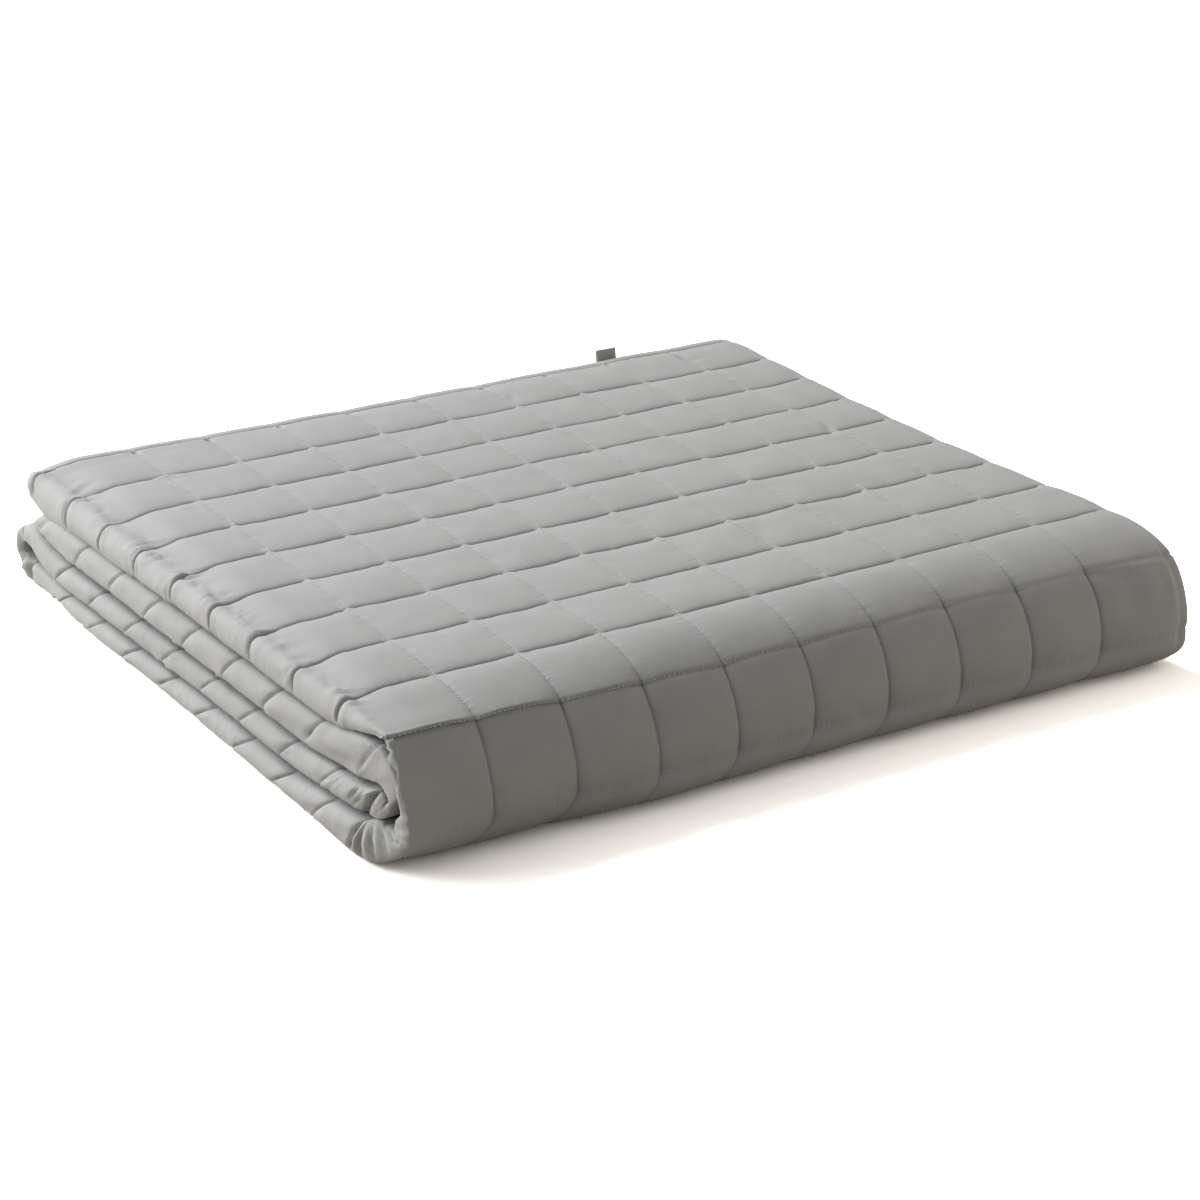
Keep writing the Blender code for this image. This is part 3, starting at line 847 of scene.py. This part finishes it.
def make_stitching():
    seam, across, way = stitch_places()
    middle, direction, out = (np.empty((len(seam), 3)) for _ in range(3))
    for along_strip in (False, True):
        these = way == along_strip
        frames = stitch_frames(seam[these], across[these], along_strip)
        middle[these], direction[these], out[these] = frames
    shape, faces = stitch_pattern()
    wide = np.cross(out, direction)
    rng = np.random.default_rng(7)
    lengths = STITCH_LENGTH / 2 * (1 + STITCH_UNEVEN * rng.uniform(-1, 1, len(seam)))
    points = middle[:, None] + direction[:, None] * (shape[None, :, 2:3] * lengths[:, None, None])
    points = points + wide[:, None] * (shape[None, :, 0:1] * THREAD_RADIUS)
    points = points + out[:, None] * (shape[None, :, 1:2] * THREAD_RADIUS)
    offsets = (np.arange(len(seam)) * len(shape)).tolist()
    all_faces = [tuple(index + offset for index in face) for offset in offsets for face in faces]
    mesh = bpy.data.meshes.new("stitching")
    mesh.from_pydata(to_metres(points.reshape(-1, 3)).tolist(), [], all_faces)
    mesh.shade_smooth()
    stitching = bpy.data.objects.new("stitching", mesh)
    bpy.context.scene.collection.objects.link(stitching)
    return stitching


# ---------------------------------------------------------------- tab

TAB_WIDTH = 0.016
TAB_LENGTH = 0.017  # from its foot to its fold
TAB_LOOP = 0.0005  # the radius of its fold
TAB_TAPE = 0.0004  # thickness of the tape
TAB_FOOT = (0.1688, 0.2316, 0.0685)
TAB_LEAN = math.radians(6)
TAB_ROUND = 0.0006  # how far its two edges curl back at the top


def make_tab():
    """A tape folded over at its top, its two ends sewn into the back of the hem."""
    bpy.ops.object.select_all(action="DESELECT")
    bpy.ops.mesh.primitive_grid_add(x_subdivisions=8, y_subdivisions=40, size=1)
    tab = bpy.context.object
    tab.name = "woven_tab"
    straight = TAB_LENGTH - TAB_LOOP
    whole = 2 * straight + math.pi * TAB_LOOP
    for vertex in tab.data.vertices:
        gone = (vertex.co.y + 0.5) * whole
        if gone < straight:
            back, up = -TAB_LOOP, gone
        elif gone > whole - straight:
            back, up = TAB_LOOP, whole - gone
        else:
            turned = (gone - straight) / TAB_LOOP
            back, up = -TAB_LOOP * math.cos(turned), straight + TAB_LOOP * math.sin(turned)
        back += TAB_ROUND * (2 * vertex.co.x) ** 2 * up / TAB_LENGTH
        vertex.co = (
            TAB_FOOT[0] + vertex.co.x * TAB_WIDTH,
            TAB_FOOT[1] + back * math.cos(TAB_LEAN) + up * math.sin(TAB_LEAN),
            TAB_FOOT[2] + up * math.cos(TAB_LEAN) - back * math.sin(TAB_LEAN),
        )
    thick = tab.modifiers.new("thickness", "SOLIDIFY")
    thick.thickness = TAB_TAPE
    thick.offset = 0
    bpy.ops.object.modifier_apply(modifier="thickness")
    bpy.ops.object.shade_smooth()
    return tab


# ---------------------------------------------------------------- materials

# Bumps, in metres.
GATHERS_DEPTH = 0.0007
WRINKLES_DEPTH = 0.0007
NAP_DEPTH = 0.0001
WEAVE_DEPTH = 0.0002

NAP_SCALE = 900.0  # tufts of about 1 mm: real ones are finer than the render can show
TONE_SCALE = 45.0  # patches of about 22 mm, brushed this way and that
WEAVE_SCALE = 1500.0  # threads of about 0.7 mm

GATHERS_IN_SQUARE = 15.0  # 3.4 mm apart
GATHERS_ALONG = 2.5  # and about 20 mm long, across the seam
GATHERS_FADE = 0.000008  # what is left of them one square away from the seam
GATHERS_WITHIN = 4.6  # squares from the middle, for the seams along the strip

# The seam on the front edge is darkened in the cloth's colour: painted shade in its groove, in dots.
PAINTED_SHADE_SEAM = -0.006
PAINTED_SHADE_WIDTH = 1 / 75.0  # squares from the line to where half of its tone is left
PAINTED_SHADE_SPOTS_IN_SQUARE = 30.0
PAINTED_SHADE_LEAST = 0.4
PAINTED_SHADE_AT_LEFT = 1.15
PAINTED_SHADE_FADE = 0.1  # a square

WRINKLE_SCALES = (("X", 130.0), ("Y", 180.0), ("Z", 110.0))  # 8 mm long, 6 mm apart and 9 mm high
WRINKLE_PATCH_SCALE = 38.0  # patches of about 26 mm
WRINKLE_PATCH_FROM = 0.4
WRINKLE_PATCH_GAIN = 4.0
WRINKLE_LEAST = 0.15
WRINKLES_FROM = -0.230  # metres along X
WRINKLES_FULL_IN = 1 / 55.0  # metres further to the left

MIX_A, MIX_B, MIX_RESULT = 6, 7, 2  # a Mix node's sockets for colours


def colour(code):
    """An sRGB hex value as linear red, green, blue and alpha."""
    parts = [int(code[i : i + 2], 16) / 255 for i in (1, 3, 5)]
    linear = [p / 12.92 if p <= 0.04045 else ((p + 0.055) / 1.055) ** 2.4 for p in parts]
    return (*linear, 1.0)


def add_node(material, kind, links=(), **settings):
    """Adds a node. links pairs an input's name or number with the output that feeds it."""
    node = material.node_tree.nodes.new(kind)
    for name, value in settings.items():
        if name in node.inputs:
            node.inputs[name].default_value = value
        else:
            setattr(node, name, value)
    for name, output in links:
        material.node_tree.links.new(output, node.inputs[name])
    return node


def new_material(name):
    material = bpy.data.materials.new(name)
    material.use_nodes = True
    return material, material.node_tree.nodes["Principled BSDF"]


def arithmetic(material, operation, *values):
    """A Math node on numbers and outputs."""
    node = material.node_tree.nodes.new("ShaderNodeMath")
    node.operation = operation
    for socket, value in zip(node.inputs, values):
        if isinstance(value, (int, float)):
            socket.default_value = value
        else:
            material.node_tree.links.new(value, socket)
    return node.outputs["Value"]


def bump(material, height, distance, normal=None):
    links = [("Height", height)] + ([("Normal", normal)] if normal else [])
    return add_node(material, "ShaderNodeBump", links, Distance=distance).outputs["Normal"]


def split_map(material):
    """The UV map, whose unit is a square: X is across and Y is the seam count."""
    place = add_node(material, "ShaderNodeUVMap").outputs["UV"]
    return add_node(material, "ShaderNodeSeparateXYZ", [("Vector", place)]).outputs


def stretched(material, place, scales):
    """A place with each of its axes times its own scale."""
    links = [(axis, arithmetic(material, "MULTIPLY", place[axis], scale)) for axis, scale in scales]
    return add_node(material, "ShaderNodeCombineXYZ", links).outputs["Vector"]


def clamp(material, value, lowest, highest):
    return arithmetic(material, "MINIMUM", arithmetic(material, "MAXIMUM", value, lowest), highest)


def gathers_beside_seams(material):
    """The small ridges that the thread pulls up across each seam."""
    place = split_map(material)
    total = None
    for along, across in (("X", "Y"), ("Y", "X")):
        line = place[across]
        away = arithmetic(material, "SUBTRACT", line, arithmetic(material, "ROUND", line))
        near = arithmetic(material, "POWER", GATHERS_FADE, arithmetic(material, "ABSOLUTE", away))
        sides = [
            ("X", arithmetic(material, "MULTIPLY", place[along], GATHERS_IN_SQUARE)),
            ("Y", arithmetic(material, "MULTIPLY", line, GATHERS_ALONG)),
        ]
        vector = add_node(material, "ShaderNodeCombineXYZ", sides).outputs["Vector"]
        ridges = add_node(material, "ShaderNodeTexNoise", [("Vector", vector)], Scale=1.0, Detail=2.0)
        ridges = arithmetic(material, "SUBTRACT", ridges.outputs["Fac"], 0.5)
        ridges = arithmetic(material, "MULTIPLY", ridges, near)
        if across == "X":
            off_middle = arithmetic(material, "SUBTRACT", line, COLUMNS / 2)
            off_middle = arithmetic(material, "ABSOLUTE", off_middle)
            shown = arithmetic(material, "LESS_THAN", off_middle, GATHERS_WITHIN)
            ridges = arithmetic(material, "MULTIPLY", ridges, shown)
        total = ridges if total is None else arithmetic(material, "ADD", total, ridges)
    return total


def front_seam_painted_shade(material):
    """Painted shade in the groove of the seam on the front edge, dotted like its needle holes and tight
    little tucks: 1 on the line and 0 away from it.
    """
    place = split_map(material)
    away = arithmetic(material, "SUBTRACT", place["Y"], PAINTED_SHADE_SEAM)
    away = arithmetic(material, "DIVIDE", arithmetic(material, "ABSOLUTE", away), PAINTED_SHADE_WIDTH)
    line = arithmetic(material, "POWER", 0.5, away)
    vector = stretched(material, place, (("X", PAINTED_SHADE_SPOTS_IN_SQUARE), ("Y", PAINTED_SHADE_SPOTS_IN_SQUARE)))
    shade_spots = add_node(material, "ShaderNodeTexNoise", [("Vector", vector)], Scale=1.0, Detail=1.0)
    shade_spots = arithmetic(material, "ADD", shade_spots.outputs["Fac"], PAINTED_SHADE_LEAST)
    faded = arithmetic(material, "MULTIPLY", place["X"], PAINTED_SHADE_FADE)
    left = arithmetic(material, "SUBTRACT", PAINTED_SHADE_AT_LEFT, faded)
    left = arithmetic(material, "MAXIMUM", left, 0.0)
    line = arithmetic(material, "MULTIPLY", arithmetic(material, "MULTIPLY", line, shade_spots), left)
    return arithmetic(material, "MINIMUM", line, 1.0)


def wrinkles_at_the_folds(material, place):
    """The fine wrinkles of the doubled cloth at the left ends, in patches."""
    split = add_node(material, "ShaderNodeSeparateXYZ", [("Vector", place)]).outputs
    vector = stretched(material, split, WRINKLE_SCALES)
    ridges = add_node(
        material, "ShaderNodeTexNoise", [("Vector", vector)], Scale=1.0, Detail=3.0, Distortion=0.6
    ).outputs["Fac"]
    patches = add_node(
        material, "ShaderNodeTexNoise", [("Vector", place)], Scale=WRINKLE_PATCH_SCALE, Detail=1.0
    ).outputs["Fac"]
    patches = arithmetic(material, "SUBTRACT", patches, WRINKLE_PATCH_FROM)
    patches = arithmetic(material, "MULTIPLY", patches, WRINKLE_PATCH_GAIN)
    patches = clamp(material, patches, WRINKLE_LEAST, 1.0)
    at_end = arithmetic(material, "SUBTRACT", WRINKLES_FROM, split["X"])
    at_end = clamp(material, arithmetic(material, "DIVIDE", at_end, WRINKLES_FULL_IN), 0.0, 1.0)
    return arithmetic(material, "MULTIPLY", arithmetic(material, "MULTIPLY", ridges, patches), at_end)


def brushed_microfibre():
    """Polyester microfibre, woven close and lightly brushed: matt, with a soft nap and a faint sheen."""
    material, shader = new_material("brushed_microfibre")
    shader.inputs["Roughness"].default_value = 0.88
    shader.inputs["Sheen Weight"].default_value = 0.1
    shader.inputs["Sheen Roughness"].default_value = 0.5
    place = add_node(material, "ShaderNodeTexCoord").outputs["Object"]
    nap = add_node(material, "ShaderNodeTexNoise", [("Vector", place)], Scale=NAP_SCALE, Detail=3.0)
    patch = add_node(material, "ShaderNodeTexNoise", [("Vector", place)], Scale=TONE_SCALE, Detail=3.0)
    tones = add_node(material, "ShaderNodeValToRGB", [("Fac", patch.outputs["Fac"])])
    dark, light = tones.color_ramp.elements
    dark.position, dark.color = 0.3, colour("#868685")
    light.position, light.color = 0.7, colour("#8b8b8a")
    normal = bump(material, gathers_beside_seams(material), GATHERS_DEPTH)
    normal = bump(material, wrinkles_at_the_folds(material, place), WRINKLES_DEPTH, normal)
    normal = bump(material, nap.outputs["Fac"], NAP_DEPTH, normal)
    # The base colour is multiplied towards #a2a09c along the front seam: painted shade.
    links = [("Factor", front_seam_painted_shade(material)), (MIX_A, tones.outputs["Color"])]
    toned_and_shaded = add_node(material, "ShaderNodeMix", links, data_type="RGBA", blend_type="MULTIPLY")
    toned_and_shaded.inputs[MIX_B].default_value = colour("#a2a09c")
    link = material.node_tree.links.new
    link(toned_and_shaded.outputs[MIX_RESULT], shader.inputs["Base Color"])
    link(normal, shader.inputs["Normal"])
    return material


def woven_tape():
    """Polyester label tape, woven close and left bare."""
    material, shader = new_material("woven_tape")
    shader.inputs["Roughness"].default_value = 0.7
    place = add_node(material, "ShaderNodeTexCoord").outputs["Object"]
    weave = add_node(material, "ShaderNodeTexNoise", [("Vector", place)], Scale=WEAVE_SCALE, Detail=2.0)
    tones = add_node(material, "ShaderNodeValToRGB", [("Fac", weave.outputs["Fac"])])
    dark, light = tones.color_ramp.elements
    dark.color, light.color = colour("#85847f"), colour("#a09f99")
    link = material.node_tree.links.new
    link(tones.outputs["Color"], shader.inputs["Base Color"])
    link(bump(material, weave.outputs["Fac"], WEAVE_DEPTH), shader.inputs["Normal"])
    return material


def polyester_thread():
    """Spun polyester sewing thread, a little lighter than the cloth."""
    material, shader = new_material("polyester_thread")
    shader.inputs["Base Color"].default_value = colour("#a6a6a3")
    shader.inputs["Roughness"].default_value = 0.6
    return material


# ---------------------------------------------------------------- floor, light and camera

# The studio: a cool soft light from the left, a weak warm one from the right and a broad one from
# behind. Each has the way it lies in from the middle of the pile, and its strength on a face turned
# towards it, in watts on a square metre.
FROM_LEFT = Vector((-0.80, 0.45, 0.40))
LEFT_DISTANCE = 1.5
LEFT_SIZE = 1.25
LEFT_STRENGTH = 3.75
COOL = (0.965, 0.98, 1.0)
FROM_RIGHT = Vector((0.88, -0.44, 0.20))
RIGHT_DISTANCE = 1.2
RIGHT_SIZE = 1.0
RIGHT_STRENGTH = 1.0
WARM = (1.0, 0.90, 0.78)
FROM_BACK = Vector((-0.15, 0.73, 0.67))
BACK_STRENGTH = 3.25
BACK_ANGLE = math.radians(30)
ROOM_STRENGTH = 0.42
FLOOR_SIZE = 14
FLOOR_GAIN = 2.1
PAPER = "#f4f1ec"
PAPER_ON_CLOTH = "#bfb6a8"

CAMERA_PLACE = (-0.8008, -1.3203, 0.6624)
CAMERA_TURN = (math.radians(67.2), 0, math.radians(-31.84))
CAMERA_LENS = 81  # millimetres, on a sensor of 36
CAMERA_SENSOR = 36
CAMERA_REACH = 50


def pale_floor():
    """A white paper floor, lit so that it burns out. What it throws back on the cloth is held down."""
    material, shader = new_material("pale_floor")
    material.node_tree.nodes.remove(shader)
    white = [FLOOR_GAIN * part for part in colour(PAPER)[:3]]
    seen = add_node(material, "ShaderNodeBsdfDiffuse", Color=(*white, 1.0))
    thrown = add_node(material, "ShaderNodeBsdfDiffuse", Color=colour(PAPER_ON_CLOTH))
    ray = add_node(material, "ShaderNodeLightPath")
    choice = add_node(
        material,
        "ShaderNodeMixShader",
        [("Fac", ray.outputs["Is Camera Ray"]), (1, thrown.outputs["BSDF"]), (2, seen.outputs["BSDF"])],
    )
    surface = material.node_tree.nodes["Material Output"].inputs["Surface"]
    material.node_tree.links.new(choice.outputs["Shader"], surface)
    return material


def add_light(name, kind, way, strength):
    data = bpy.data.lights.new(name, kind)
    data.energy = strength
    light = bpy.data.objects.new(name, data)
    light.rotation_euler = way.to_track_quat("Z", "Y").to_euler()
    bpy.context.scene.collection.objects.link(light)
    return light


def add_soft_light(name, way, distance, size, strength, tint):
    light = add_light(name, "AREA", way, strength * math.pi * distance**2)
    light.location = way * distance
    light.data.size = size
    light.data.color = tint


def make_stage():
    bpy.ops.mesh.primitive_plane_add(size=FLOOR_SIZE, location=(0, 0, 0))
    floor = bpy.context.object
    floor.name = "floor"
    floor.data.materials.append(pale_floor())
    world = bpy.data.worlds.new("studio")
    world.use_nodes = True
    room = world.node_tree.nodes["Background"]
    room.inputs["Color"].default_value = (1, 1, 1, 1)
    room.inputs["Strength"].default_value = ROOM_STRENGTH
    bpy.context.scene.world = world
    add_soft_light("left", FROM_LEFT, LEFT_DISTANCE, LEFT_SIZE, LEFT_STRENGTH, COOL)
    add_soft_light("right", FROM_RIGHT, RIGHT_DISTANCE, RIGHT_SIZE, RIGHT_STRENGTH, WARM)
    back = add_light("back", "SUN", FROM_BACK, BACK_STRENGTH)
    back.data.angle = BACK_ANGLE
    bpy.context.scene.view_settings.view_transform = "Standard"


def make_camera():
    data = bpy.data.cameras.new("camera")
    data.sensor_width = CAMERA_SENSOR
    data.lens = CAMERA_LENS
    data.clip_end = CAMERA_REACH
    camera = bpy.data.objects.new("camera", data)
    camera.location = CAMERA_PLACE
    camera.rotation_euler = CAMERA_TURN
    bpy.context.scene.collection.objects.link(camera)
    bpy.context.scene.camera = camera


make_camera()

blanket = make_blanket()
blanket.data.materials.append(brushed_microfibre())
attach(blanket, "root")
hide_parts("blanket")

stitching = make_stitching()
stitching.data.materials.append(polyester_thread())
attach(stitching, "root")

tab = make_tab()
tab.data.materials.append(woven_tape())
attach(tab, "root")
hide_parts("tab")

make_stage()
